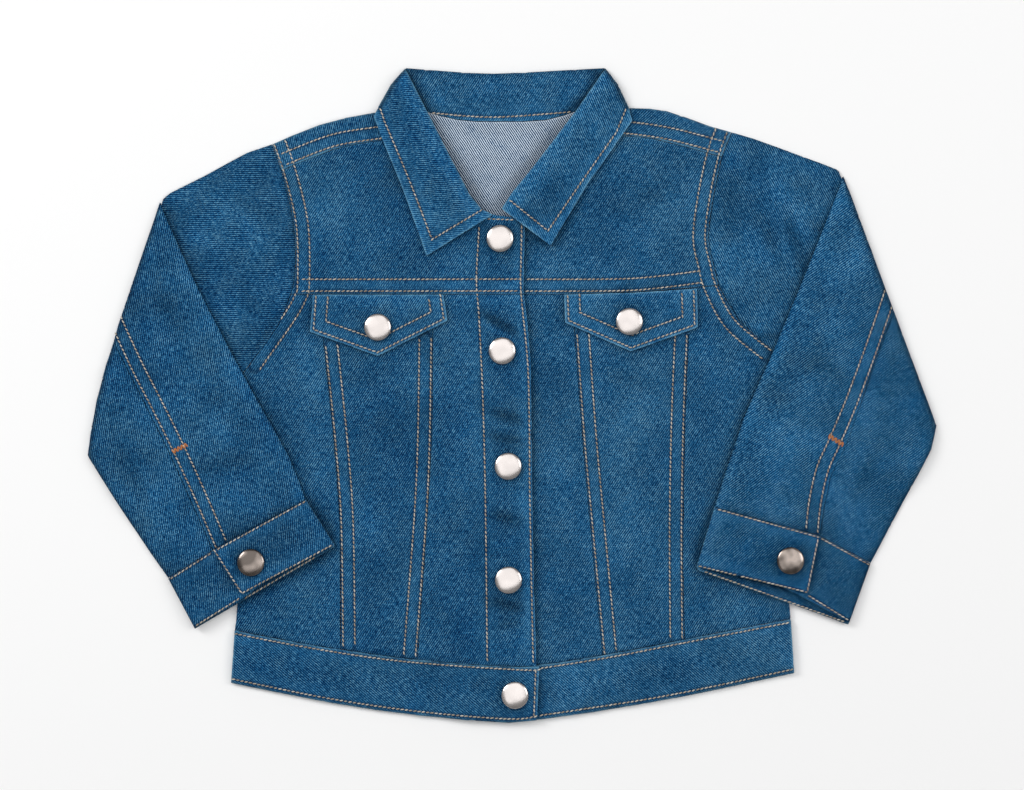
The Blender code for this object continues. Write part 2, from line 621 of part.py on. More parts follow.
def build_cuff(name, side, denim, metal, jacket):
    """A doubled cuff: its far layer, its under end, and its buttoned end over that."""
    seams = side["cuff_seam_over"] + side["cuff_seam_under"][1:]
    far = loop(seams, side["cuff_outer_end"], side["cuff_far_bottom"], side["cuff_inner_end"])
    under = loop(
        [tucked(side["cuff_seam_over"]), *side["cuff_seam_under"]],
        side["cuff_outer_end"],
        side["cuff_under_bottom"],
        [side["cuff_under_bottom"][0], tucked(side["cuff_over_bottom"])],
    )
    over = loop(
        side["cuff_seam_over"],
        side["cuff_overlap"],
        side["cuff_over_bottom"],
        side["cuff_inner_end"],
    )

    def under_rest(x, y):
        return folded_rest(x, y) + TURNED + SEAM_GAP

    @on_net
    def over_rest(x, y):
        return under_rest(x, y) + (TURNED + SEAM_GAP) * beside(under, x, y, CELL)

    cloth("cuff_far_" + name, taken_in(far, SEAM_GAP / 2), folded_rest, TURNED, denim, jacket)
    cloth("cuff_under_" + name, taken_in(under, SEAM_GAP / 2), under_rest, TURNED, denim, jacket)
    cloth("cuff_over_" + name, taken_in(over, SEAM_GAP / 2), over_rest, TURNED, denim, jacket)
    button(
        "button_cuff_" + name,
        side["cuff_button"],
        lambda x, y: over_rest(x, y) + TURNED + SEAM_GAP,
        metal,
        jacket,
    )


def build_front_buttons(metal, jacket):
    """Five down the placket, the last on the hem band."""
    for number, place in enumerate(FRONT_BUTTONS, start=1):
        rest = band_button_rest if number == len(FRONT_BUTTONS) else on_fronts
        button("button_front_" + str(number), place, rest, metal, jacket)


for old in list(bpy.data.objects):
    bpy.data.objects.remove(old, do_unlink=True)
DENIM = material("washed denim", (0.022, 0.09, 0.195), 0.85)
CUFF_METAL = material("worn nickel", (0.42, 0.39, 0.37), 0.3, 1.0)
METAL = material("bright nickel", (0.75, 0.73, 0.71), 0.25, 1.0)
JACKET = bpy.data.objects.new("jacket", None)
bpy.context.collection.objects.link(JACKET)
build_back(DENIM, JACKET)
build_fronts(DENIM, JACKET)
build_flaps(DENIM, METAL, JACKET)
build_hem_band(DENIM, JACKET)
build_collar(DENIM, JACKET)
for side_name, side_lines in SIDES.items():
    build_upper_arm(side_name, side_lines, DENIM, JACKET)
    build_forearm(side_name, side_lines, DENIM, JACKET)
    build_cuff(side_name, side_lines, DENIM, CUFF_METAL, JACKET)
build_front_buttons(METAL, JACKET)
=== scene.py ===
"""A small child's denim jacket, buttoned and laid flat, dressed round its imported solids."""

import math
import random

import bmesh
import bpy
import numpy as np
from mathutils import Matrix, Vector, noise
from mathutils.bvhtree import BVHTree


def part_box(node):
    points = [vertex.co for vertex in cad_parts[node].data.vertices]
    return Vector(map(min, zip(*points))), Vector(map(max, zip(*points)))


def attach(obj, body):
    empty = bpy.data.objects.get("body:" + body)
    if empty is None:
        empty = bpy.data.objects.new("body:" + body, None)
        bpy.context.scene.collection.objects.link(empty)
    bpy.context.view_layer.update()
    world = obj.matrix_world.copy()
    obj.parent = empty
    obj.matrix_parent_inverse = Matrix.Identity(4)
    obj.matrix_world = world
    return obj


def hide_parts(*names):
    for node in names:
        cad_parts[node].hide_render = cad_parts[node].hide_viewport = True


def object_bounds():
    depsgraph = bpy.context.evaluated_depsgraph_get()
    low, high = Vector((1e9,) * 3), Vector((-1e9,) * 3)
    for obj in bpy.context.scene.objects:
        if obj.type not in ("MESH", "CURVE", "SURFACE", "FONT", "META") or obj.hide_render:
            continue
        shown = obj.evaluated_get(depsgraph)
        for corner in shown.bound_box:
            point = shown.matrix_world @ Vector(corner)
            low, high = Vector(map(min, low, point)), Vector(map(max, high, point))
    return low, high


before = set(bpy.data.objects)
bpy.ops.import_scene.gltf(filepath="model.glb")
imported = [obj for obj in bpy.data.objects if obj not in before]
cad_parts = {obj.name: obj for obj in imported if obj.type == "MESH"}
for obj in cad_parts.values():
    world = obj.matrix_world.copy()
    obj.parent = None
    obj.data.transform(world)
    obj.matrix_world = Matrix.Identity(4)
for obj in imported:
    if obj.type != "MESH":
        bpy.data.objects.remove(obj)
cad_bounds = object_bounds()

MM = 0.001

# The place it lies on, and the light: a white floor, one broad soft light above and a small one at each side.
# The camera looks straight down from far enough to show hardly any perspective.
VIEW_WIDTH = 0.5632
CAMERA_HEIGHT = 2.4
SENSOR = 36.0
FLOOR_REACH = 6.0
FLOOR_GAP = 0.0002  # the floor lies this far below the jacket

camera_data = bpy.data.cameras.new("camera")
camera_data.sensor_width = SENSOR
camera_data.lens = SENSOR * CAMERA_HEIGHT / VIEW_WIDTH
camera = bpy.data.objects.new("camera", camera_data)
camera.location = (0.0, 0.0, CAMERA_HEIGHT)
bpy.context.collection.objects.link(camera)
bpy.context.scene.camera = camera

bm = bmesh.new()
bmesh.ops.create_grid(bm, x_segments=1, y_segments=1, size=FLOOR_REACH)
floor_mesh = bpy.data.meshes.new("floor")
bm.to_mesh(floor_mesh)
bm.free()
floor = bpy.data.objects.new("floor", floor_mesh)
floor.location.z = -FLOOR_GAP
bpy.context.collection.objects.link(floor)
paper = bpy.data.materials.new("white paper")
paper.use_nodes = True
paper.node_tree.nodes["Principled BSDF"].inputs["Base Color"].default_value = (0.9, 0.9, 0.9, 1.0)
paper.node_tree.nodes["Principled BSDF"].inputs["Roughness"].default_value = 0.9
floor_mesh.materials.append(paper)

for name, place, size, power in (
    ("overhead", (-0.1, 0.3, 2.5), 2.9, 35.5),
    ("left", (-1.5, 0.9, 1.4), 0.9, 21.0),
    ("right", (1.5, 0.3, 1.4), 0.9, 9.0),
):
    lamp = bpy.data.lights.new(name, "AREA")
    lamp.size = size
    lamp.energy = power
    holder = bpy.data.objects.new(name, lamp)
    holder.location = place
    holder.rotation_euler = (-Vector(place)).to_track_quat("-Z", "Y").to_euler()
    bpy.context.collection.objects.link(holder)
world = bpy.data.worlds.new("room")
world.use_nodes = True
world.node_tree.nodes["Background"].inputs["Color"].default_value = (1.0, 1.0, 1.0, 1.0)
world.node_tree.nodes["Background"].inputs["Strength"].default_value = 0.28
bpy.context.scene.world = world
bpy.context.scene.view_settings.view_transform = "Standard"  # colours are shown as they are


# The back: one panel of washed indigo twill, about 1 mm thick, its wrong side showing in the neck.
# Each piece of cloth is a fine shell on its solid's top, with grain, seams, worn edges and its recesses, for
# painted shade, marked on it.
GRID = 1.5  # mesh size where a piece shows
HIDDEN_GRID = 9.0
WELD = 0.01
GRID_SNAP = 0.12  # a cut this near a point goes through it
SLIVER = 0.35  # shorter edges than this are closed up
FACING_UP = 0.4
CLOTH = 1.0  # thickness of one layer
TURNED = 1.6  # and of a doubled, pressed one
LEAST_LIFT = 0.05
SOFT_EDGE = 0.35
GAUGE = 3.25  # half the width between two rows of a seam
ROW_DEPTH, ROW_WIDTH = 0.22, 1.1  # the groove that a row of stitches pulls
PUCKER, PUCKER_SIZE, PUCKER_REACH = 0.55, 4.5, 5.5  # the small waves beside a row
RUFFLE_SIZE, RIPPLE_SIZE, RIPPLE_SHARE = 22.0, 8.0, 0.4
EDGE_ROLL = 2.5  # a raised edge is thick over this width
NO_ROW = 99.0  # the distance kept where a piece has no row
EDGE_WEAR = 1.2  # an edge is rubbed pale over this width
TWILL = 57.0  # degrees between the weft and the twill's lines
TWILL_PITCH = 1.08


def distances(points, line):
    """Distance of each point to a line of straight pieces, and how far along it the nearest place is."""
    line = np.array(line, float)
    best = np.full(len(points), np.inf)
    along = np.zeros(len(points))
    before = 0.0
    for a, b in zip(line, line[1:]):
        run = b - a
        length = float(np.hypot(*run))
        share = np.clip(((points - a) @ run) / length**2, 0.0, 1.0)
        gap = np.hypot(*(points - a - share[:, None] * run).T)
        nearer = gap < best
        best[nearer] = gap[nearer]
        along[nearer] = before + share[nearer] * length
        before += length
    return best, along


def creased(points, creases):
    """Soft ridges, or troughs where the height is negative: each (start, end, half width, height)."""
    rise = np.zeros(len(points))
    for start, end, width, height in creases:
        gap, along = distances(points, [start, end])
        length = math.dist(start, end)
        ends = np.sin(np.pi * np.clip(along / length, 0.02, 0.98)) ** 0.7
        rise += height * np.exp(-((gap / width) ** 2)) * ends
    return rise


def ruffled(points, amount, size):
    """Soft uneven waves about the given size."""
    return np.array([amount * noise.noise((x / size, y / size, amount)) for x, y in points])


def lie_of_the_cloth():
    """The height of whatever lies on top, smoothed over a few millimetres, on a grid over the jacket, for
    painting shade.
    """
    bm = bmesh.new()
    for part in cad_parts.values():
        bm.from_mesh(part.data)
    everything = BVHTree.FromBMesh(bm)
    bm.free()
    (low_x, low_y, _), (high_x, high_y, _) = cad_bounds
    xs = np.arange(low_x / MM, high_x / MM, LIE_STEP)
    ys = np.arange(low_y / MM, high_y / MM, LIE_STEP)
    heights = np.zeros((len(ys), len(xs)))
    for row, y in enumerate(ys):
        for column, x in enumerate(xs):
            hit = everything.ray_cast(Vector((x * MM, y * MM, 1.0)), Vector((0.0, 0.0, -1.0)))[0]
            heights[row, column] = hit.z / MM if hit else 0.0
    covered = (heights > 0.0).astype(float)
    reach = np.arange(-3 * LIE_SPREAD, 3 * LIE_SPREAD + LIE_STEP, LIE_STEP)
    kernel = np.exp(-0.5 * (reach / LIE_SPREAD) ** 2)

    def smoothed(field):
        for axis in (0, 1):
            field = np.apply_along_axis(np.convolve, axis, field, kernel, "same")
        return field

    return xs[0], ys[0], smoothed(heights * covered) / np.maximum(smoothed(covered), 1e-6)


LIE_STEP = 1.5
LIE_SPREAD = 4.5
LIE_X, LIE_Y, LIE = lie_of_the_cloth()


def recess_at(points, z):
    """How far the points lie below what is round them: more than 0 in a recess, less on a ridge. Shade is
    painted by it.
    """
    u = np.clip((points[:, 0] - LIE_X) / LIE_STEP, 0.0, LIE.shape[1] - 1.001)
    v = np.clip((points[:, 1] - LIE_Y) / LIE_STEP, 0.0, LIE.shape[0] - 1.001)
    i, j = u.astype(int), v.astype(int)
    u, v = u - i, v - j
    lower = LIE[j, i] * (1.0 - u) + LIE[j, i + 1] * u
    upper = LIE[j + 1, i] * (1.0 - u) + LIE[j + 1, i + 1] * u
    return lower * (1.0 - v) + upper * v - z


def flat_piece(node, grid):
    """The node's top side, flattened and cut into a grid, with a tree to read its heights from."""
    bm = bmesh.new()
    bm.from_mesh(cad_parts[node].data)
    bmesh.ops.remove_doubles(bm, verts=bm.verts[:], dist=WELD * MM)
    bm.normal_update()
    bmesh.ops.delete(bm, geom=[face for face in bm.faces if face.normal.z < FACING_UP], context="FACES")
    heights = BVHTree.FromBMesh(bm)
    for vert in bm.verts:
        vert.co.z = 0.0
    bmesh.ops.dissolve_faces(bm, faces=bm.faces[:], use_verts=False)
    bm.faces.ensure_lookup_table()
    outline = [tuple(loop.vert.co.xy / MM) for loop in bm.faces[0].loops]
    for axis, across in enumerate(((1.0, 0.0, 0.0), (0.0, 1.0, 0.0))):
        low = min(point[axis] for point in outline)
        high = max(point[axis] for point in outline)
        for line in range(math.ceil(low / grid), math.ceil(high / grid)):
            place = Vector(across) * line * grid * MM
            geometry = bm.verts[:] + bm.edges[:] + bm.faces[:]
            bmesh.ops.bisect_plane(bm, geom=geometry, dist=GRID_SNAP * MM, plane_co=place, plane_no=across)
    bmesh.ops.remove_doubles(bm, verts=bm.verts[:], dist=SLIVER * MM)
    return bm, outline, heights


def down_on(surface, x, y):
    """Where a plumb line at x, y (in metres) meets the surface, or None."""
    return surface.ray_cast(Vector((x, y, 1.0)), Vector((0.0, 0.0, -1.0)))[0]


def linked(name, mesh, finish):
    """A new object of the mesh in its finish."""
    mesh.materials.append(finish)
    made = bpy.data.objects.new(name, mesh)
    bpy.context.collection.objects.link(made)
    return made


def nearest_line(points, lines):
    """Distance of each point to the nearest of the lines."""
    nearest = np.full(len(points), NO_ROW)
    for line in lines:
        nearest = np.minimum(nearest, distances(points, line)[0])
    return nearest


def shell(node, finish, grid=GRID, wall=CLOTH, grain=0.0, mirrored=False, smooth=14,
          seams=(), rows=(), folds=(), creases=(), ruffle=0.0, raise_edge=0.0, worn=1.0):
    """A piece of cloth on its solid.

    grain turns the warp, in degrees. seams are the middles of double rows and rows are single ones.
    folds are (line, run, drop): within run of the line the cloth rounds down by the drop.
    worn is how pale its edges are rubbed, from 0 to 1.
    """
    bm, outline, heights = flat_piece(node, grid)
    area = sum(face.calc_area() for face in bm.faces)
    for vert in bm.verts:
        vert.co.z = (down_on(heights, vert.co.x, vert.co.y) or heights.find_nearest(vert.co)[0]).z
    for _ in range(smooth):
        bmesh.ops.smooth_vert(bm, verts=bm.verts[:], factor=0.5, use_axis_z=True)
    points = np.array([vert.co.xy for vert in bm.verts]) / MM
    z = np.array([vert.co.z for vert in bm.verts]) / MM
    edge = distances(points, [*outline, outline[0]])[0]
    seam = nearest_line(points, seams)
    row = nearest_line(points, rows)
    z += creased(points, creases)
    if ruffle:
        z += ruffled(points, ruffle, RUFFLE_SIZE) + ruffled(points, RIPPLE_SHARE * ruffle, RIPPLE_SIZE)
    near = np.minimum(np.abs(seam - GAUGE), row)
    z -= ROW_DEPTH * np.exp(-((near / ROW_WIDTH) ** 2))
    pucker = np.exp(-((np.minimum(seam, row) / PUCKER_REACH) ** 2))
    z += pucker * ruffled(points, PUCKER, PUCKER_SIZE)
    z += raise_edge * np.exp(-((edge / EDGE_ROLL) ** 2))
    for line, run, drop in folds:
        gap = np.clip(distances(points, line)[0] / run, 0.0, 1.0)
        z -= drop * (1.0 - np.sqrt(1.0 - (1.0 - gap) ** 2))
    z = np.maximum(z, wall + LEAST_LIFT)
    edge += EDGE_WEAR * (1.0 - worn)
    # The recess mark sets the painted shade in recesses and the painted highlight on ridges.
    for name in ("edge", "seam", "row", "recess"):
        bm.verts.layers.float.new(name)
    layers = [bm.verts.layers.float[name] for name in ("edge", "seam", "row", "recess")]
    for vert, height, *marks in zip(bm.verts, z, edge, seam, row, recess_at(points, z)):
        vert.co.z = height * MM
        for layer, mark in zip(layers, marks):
            vert[layer] = mark
    cloth_map = bm.loops.layers.uv.new("cloth")
    turn = math.radians(grain)
    hand = -1.0 if mirrored else 1.0
    across = (math.cos(turn) * hand, math.sin(turn) * hand)
    along = (-math.sin(turn), math.cos(turn))
    for face in bm.faces:
        face.smooth = True
        for loop in face.loops:
            x, y = loop.vert.co.xy
            loop[cloth_map].uv = (x * across[0] + y * across[1], x * along[0] + y * along[1])
    mesh = bpy.data.meshes.new(node + "_cloth")
    bm.to_mesh(mesh)
    surface = BVHTree.FromBMesh(bm)
    bm.free()
    piece = linked(node + "_cloth", mesh, finish)
    body = piece.modifiers.new("wall", "SOLIDIFY")
    body.thickness = wall * MM
    body.offset = -1.0
    soft = piece.modifiers.new("soft edge", "BEVEL")
    soft.width = SOFT_EDGE * MM
    soft.segments = 2
    soft.limit_method = "ANGLE"
    soft.angle_limit = math.radians(50.0)
    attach(piece, "root")
    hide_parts(node)
    return surface


def add(tree, kind, settings=(), **inputs):
    """A shader node, its inputs given as values or as the sockets that feed them."""
    made = tree.nodes.new("ShaderNode" + kind)
    for setting, value in dict(settings).items():
        setattr(made, setting, value)
    for place, value in inputs.items():
        by_number = place[1:].isdigit()
        socket = made.inputs[int(place[1:]) if by_number else place.replace("_", " ")]
        if isinstance(value, bpy.types.NodeSocket):
            tree.links.new(value, socket)
        else:
            socket.default_value = value
    return made


def ramp(tree, value, stops):
    """A colour ramp of (place, colour) stops."""
    made = add(tree, "ValToRGB", i0=value)
    while len(made.color_ramp.elements) < len(stops):
        made.color_ramp.elements.new(0.5)
    for element, (place, colour) in zip(made.color_ramp.elements, stops):
        element.position = place
        element.color = (*colour, 1.0)
    return made.outputs["Color"]


def denim(name, dark, middle, light, fleck, twill=1.0, slub=1.0, deepest_shade=0.42):
    """Washed twill, indigo warp over pale weft, with slubs and pale edges; shade painted in grooves and
    recesses, highlight on ridges.
    """
    made = bpy.data.materials.new(name)
    made.use_nodes = True
    tree = made.node_tree
    shader = tree.nodes["Principled BSDF"]
    uv = add(tree, "UVMap", {"uv_map": "cloth"}).outputs["UV"]

    def noise_at(scale, detail=3.0, rough=0.55):
        spread = add(tree, "Mapping", Vector=uv, Scale=scale).outputs["Vector"]
        made = add(tree, "TexNoise", Vector=spread, Scale=1.0, Detail=detail, Roughness=rough)
        return made.outputs["Fac"]

    turn = math.radians(90.0 - TWILL)
    turned = add(tree, "Mapping", Vector=uv, Rotation=(0.0, 0.0, turn)).outputs["Vector"]
    lines = add(
        tree, "TexWave", {"wave_type": "BANDS", "bands_direction": "X", "wave_profile": "SIN"},
        Vector=turned, Scale=0.3142 / (TWILL_PITCH * MM), Distortion=2.2, Detail=2.0, Detail_Scale=0.6,
    ).outputs["Fac"]
    warp_slubs = noise_at((1500.0, 380.0, 1.0))
    weft_slubs = noise_at((420.0, 1700.0, 1.0))
    patches = noise_at((120.0, 90.0, 1.0), 2.0)
    clouds = noise_at((22.0, 16.0, 1.0), 4.0, 0.6)

    def maths(operation, first, second, third=0.0):
        return add(tree, "Math", {"operation": operation}, i0=first, i1=second, i2=third).outputs["Value"]

    shown = maths("MULTIPLY_ADD", patches, 0.75 * twill, 0.08 * twill)
    weave = maths("MULTIPLY", maths("SUBTRACT", lines, 0.5), shown)
    slubs = maths("ADD", maths("MULTIPLY", warp_slubs, slub), maths("MULTIPLY", weft_slubs, 0.8 * slub))
    value = maths("ADD", weave, maths("SUBTRACT", slubs, 0.9 * slub - 0.51))
    value = maths("MULTIPLY_ADD", maths("SUBTRACT", clouds, 0.5), 0.36, value)
    colour = ramp(tree, value, ((0.27, dark), (0.48, middle), (0.68, light), (0.92, fleck)))

    edge = add(tree, "Attribute", {"attribute_name": "edge"}).outputs["Fac"]
    seam = add(tree, "Attribute", {"attribute_name": "seam"}).outputs["Fac"]
    row = add(tree, "Attribute", {"attribute_name": "row"}).outputs["Fac"]
    rubbed = add(tree, "MapRange", Value=edge, From_Min=0.1, From_Max=EDGE_WEAR, To_Min=0.45, To_Max=0.0)
    rubbed = maths("MULTIPLY", rubbed.outputs["Result"], maths("MULTIPLY_ADD", patches, 3.0, -0.8))
    rubbed = maths("MINIMUM", maths("MAXIMUM", rubbed, 0.0), 1.0)
    beside = maths("MINIMUM", maths("ABSOLUTE", maths("SUBTRACT", seam, GAUGE), 0.0), row)
    groove = add(
        tree, "MapRange", {"interpolation_type": "SMOOTHSTEP"},
        Value=beside, From_Min=0.35, From_Max=1.5, To_Min=1.0, To_Max=0.0,
    ).outputs["Result"]
    ridge = add(
        tree, "MapRange", {"interpolation_type": "SMOOTHSTEP"},
        Value=maths("MINIMUM", seam, row), From_Min=2.0, From_Max=9.0, To_Min=0.30, To_Max=0.0,
    ).outputs["Result"]
    ridge = maths("MULTIPLY", ridge, patches)
    # Painted shade: the groove beside each row of stitches is darkened towards the dark colour, as its
    # shadow.
    painted_groove_shade = maths("MULTIPLY", groove, 0.5)
    for share, over in ((ridge, light), (painted_groove_shade, dark), (rubbed, fleck)):
        colour = add(tree, "MixRGB", Fac=share, Color1=colour, Color2=(*over, 1.0)).outputs["Color"]
    # Painted shade and highlight: the colour darkens where the cloth lies in a recess and lightens where it
    # stands proud.
    recess = add(tree, "Attribute", {"attribute_name": "recess"}).outputs["Fac"]
    painted_recess_shade = add(tree, "MapRange", Value=recess, From_Min=-0.9, From_Max=1.5, To_Min=1.12, To_Max=deepest_shade)
    colour = add(
        tree, "MixRGB", {"blend_type": "MULTIPLY"}, Fac=1.0, Color1=colour, Color2=painted_recess_shade.outputs["Result"]
    ).outputs["Color"]
    tree.links.new(colour, shader.inputs["Base Color"])
    shader.inputs["Roughness"].default_value = 0.9
    shader.inputs["Specular IOR Level"].default_value = 0.05
    shader.inputs["Sheen Weight"].default_value = 0.02
    shader.inputs["Sheen Roughness"].default_value = 0.5
    relief = maths("ADD", value, maths("MULTIPLY", groove, -0.8))
    bump = add(tree, "Bump", Height=relief, Strength=0.55, Distance=0.35 * MM)
    tree.links.new(bump.outputs["Normal"], shader.inputs["Normal"])
    return made


DENIM_LEFT = denim(
    "denim left", (0.000, 0.010, 0.052), (0.002, 0.057, 0.163), (0.026, 0.150, 0.310), (0.15, 0.37, 0.53)
)
DENIM_RIGHT = denim(
    "denim right", (0.000, 0.014, 0.060), (0.003, 0.066, 0.178), (0.032, 0.163, 0.328), (0.17, 0.39, 0.55)
)
DENIM_CUFF = denim(
    "denim cuff", (0.000, 0.009, 0.046), (0.001, 0.046, 0.134), (0.020, 0.120, 0.252), (0.13, 0.31, 0.44)
)
INSIDE = denim(
    "denim wrong side", (0.005, 0.028, 0.080), (0.068, 0.128, 0.222), (0.26, 0.38, 0.53), (0.76, 0.88, 1.0),
    twill=2.6, slub=0.6, deepest_shade=0.66,
)

shell("back", INSIDE, grid=3.0, mirrored=True, creases=[((-30.0, 140.0), (18.0, 132.0), 5.0, 0.35)])


# Thread: tan topstitching, under 3 mm a stitch, pulled down into the cloth.
# Each stitch is a small leaning bead that lies on the highest cloth under it.
STITCH_PITCH = 2.4
STITCH = (1.16, 0.42, 0.36)  # half length, half width and half height
TILT = 13.0  # degrees each stitch leans across its row
STITCH_LIFT = 0.16

thread = bpy.data.materials.new("tan thread")
thread.use_nodes = True
tree = thread.node_tree
shade = add(tree, "Attribute", {"attribute_name": "shade"}).outputs["Fac"]
place = add(tree, "TexCoord").outputs["Object"]
spun = add(tree, "TexNoise", Vector=place, Scale=2600.0, Detail=2.0).outputs["Fac"]
mixed = add(tree, "Math", {"operation": "MULTIPLY_ADD"}, i0=spun, i1=0.5, i2=shade).outputs["Value"]
tree.links.new(
    ramp(tree, mixed, ((0.1, (0.15, 0.115, 0.08)), (0.45, (0.36, 0.31, 0.24)), (0.9, (0.61, 0.58, 0.51)))),
    tree.nodes["Principled BSDF"].inputs["Base Color"],
)
tree.nodes["Principled BSDF"].inputs["Roughness"].default_value = 0.7

stitch_random = random.Random(11)


def beside_line(line, offset):
    """The line moved to its left by the offset, in the plane."""
    moved = []
    for i, (x, y) in enumerate(line):
        (ax, ay), (bx, by) = line[max(i - 1, 0)], line[min(i + 1, len(line) - 1)]
        length = math.hypot(bx - ax, by - ay)
        moved.append((x - (by - ay) / length * offset, y + (bx - ax) / length * offset))
    return moved


def smooth_line(line, step=4.0):
    """Points every few millimetres on a smooth curve through the line's own."""
    ends = [line[0], *line, line[-1]]
    points = [line[0]]
    for p, q, r, s in zip(ends, ends[1:], ends[2:], ends[3:]):
        pieces = max(1, round(math.dist(q, r) / step))
        for i in range(1, pieces + 1):
            t = i / pieces
            points.append(tuple(
                0.5 * (2 * b + (c - a) * t + (2 * a - 5 * b + 4 * c - d) * t**2
                       + (3 * b - a - 3 * c + d) * t**3)
                for a, b, c, d in zip(p, q, r, s)
            ))
    return points


def topstitch(name, lines, surfaces):
    """Rows of stitches on the highest of the surfaces under them, as one mesh."""
    bm = bmesh.new()
    layer = bm.verts.layers.float.new("shade")

    def height(x, y):
        hits = [down_on(surface, x * MM, y * MM) for surface in surfaces]
        found = [hit.z for hit in hits if hit]
        return max(found) / MM if found else None

    for line in lines:
        reach = STITCH_PITCH * stitch_random.uniform(0.2, 0.6)
        for (ax, ay), (bx, by) in zip(line, line[1:]):
            length = math.dist((ax, ay), (bx, by))
            if length == 0.0:
                continue
            ux, uy = (bx - ax) / length, (by - ay) / length
            while reach < length:
                x, y = ax + ux * reach, ay + uy * reach
                half, wide, thick = STITCH
                front, back = height(x + ux * half, y + uy * half), height(x - ux * half, y - uy * half)
                middle = height(x, y)
                reach += STITCH_PITCH * stitch_random.uniform(0.93, 1.07)
                if middle is None:
                    continue
                slope = math.atan2((front or middle) - (back or middle), 2 * half)
                turn = math.atan2(uy, ux) + math.radians(TILT + stitch_random.uniform(-5.0, 5.0))
                size = stitch_random.uniform(0.88, 1.08)
                matrix = (
                    Matrix.Translation(Vector((x, y, middle + STITCH_LIFT)) * MM)
                    @ Matrix.Rotation(turn, 4, "Z")
                    @ Matrix.Rotation(-slope, 4, "Y")
                    @ Matrix.Diagonal((half * size * MM, wide * MM, thick * MM, 1.0))
                )
                made = bmesh.ops.create_uvsphere(bm, u_segments=8, v_segments=5, radius=1.0, matrix=matrix)
                tone = stitch_random.uniform(0.0, 0.52)
                for vert in made["verts"]:
                    vert[layer] = tone
            reach -= length
    for face in bm.faces:
        face.smooth = True
    mesh = bpy.data.meshes.new(name)
    bm.to_mesh(mesh)
    bm.free()
    rows = linked(name, mesh, thread)
    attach(rows, "root")


def double_rows(*lines):
    """The two rows of each seam."""
    return [beside_line(smooth_line(line), side * GAUGE) for line in lines for side in (-1, 1)]


# The fronts: a yoke each, then side, middle and centre panels, sewn with two rows at every seam.
# The left front laps over the right one, and its edge is turned in and stitched down as the placket.
YOKE_LEFT = [(-115.5, 60.3), (-60.0, 60.3), (4.4, 60.3)]
YOKE_RIGHT = [(7.6, 60.3), (60.0, 60.5), (85.0, 62.5), (104.5, 65.1)]
ARMHOLE_LEFT = [(-127.6, 138.6), (-123.0, 126.0), (-117.0, 103.8), (-114.6, 86.5), (-114.5, 60.8),
                (-116.0, 54.0), (-122.5, 42.3), (-141.3, 15.8)]
ARMHOLE_RIGHT = [(115.2, 145.6), (110.5, 132.8), (105.5, 109.9), (102.7, 86.5), (105.8, 70.2),
                 (108.8, 59.0), (119.7, 39.2), (140.1, 22.0)]
PANELS_LEFT = [
    [(-99.1, 27.5), (-93.8, -24.0), (-90.5, -69.4), (-89.5, -138.1)],
    [(-47.6, 31.0), (-48.4, -21.0), (-50.3, -65.3), (-56.2, -142.9)],
]
PANELS_RIGHT = [
    [(39.0, 33.3), (42.9, -21.8), (46.6, -62.5), (54.1, -142.2)],
    [(92.8, 33.0), (90.8, -15.4), (89.8, -75.0), (90.2, -134.0)],
]
PLACKET_EDGE = [(5.4, 95.0), (5.0, 75.0), (4.9, 56.7), (8.6, 17.4), (9.6, -21.9), (9.8, -57.3),
                (11.6, -147.0)]
PLACKET_INNER = [(-18.0, 92.0), (-19.5, 63.6), (-18.0, 41.0), (-16.0, -2.3), (-14.6, -57.3),
                 (-13.6, -145.2)]
PLACKET_TOP = [(-13.0, 96.6), (2.0, 96.0)]

HEM_SEAM_LEFT = [(-152.5, -129.4), (-113.5, -136.8), (-59.8, -144.7), (4.1, -149.2)]
HEM_SEAM_RIGHT = [(15.7, -148.5), (54.8, -142.2), (93.9, -134.6), (153.3, -123.2)]
YOKE_EDGE = [(-121.4, 55.4), (6.6, 55.4), (60.0, 55.9), (98.1, 58.8), (113.4, 60.4)]
# A panel's ends go under the pieces that it is sewn to.
DIPS = [(YOKE_EDGE, 2.6, 0.9), (HEM_SEAM_LEFT + HEM_SEAM_RIGHT, 2.6, 0.8)]

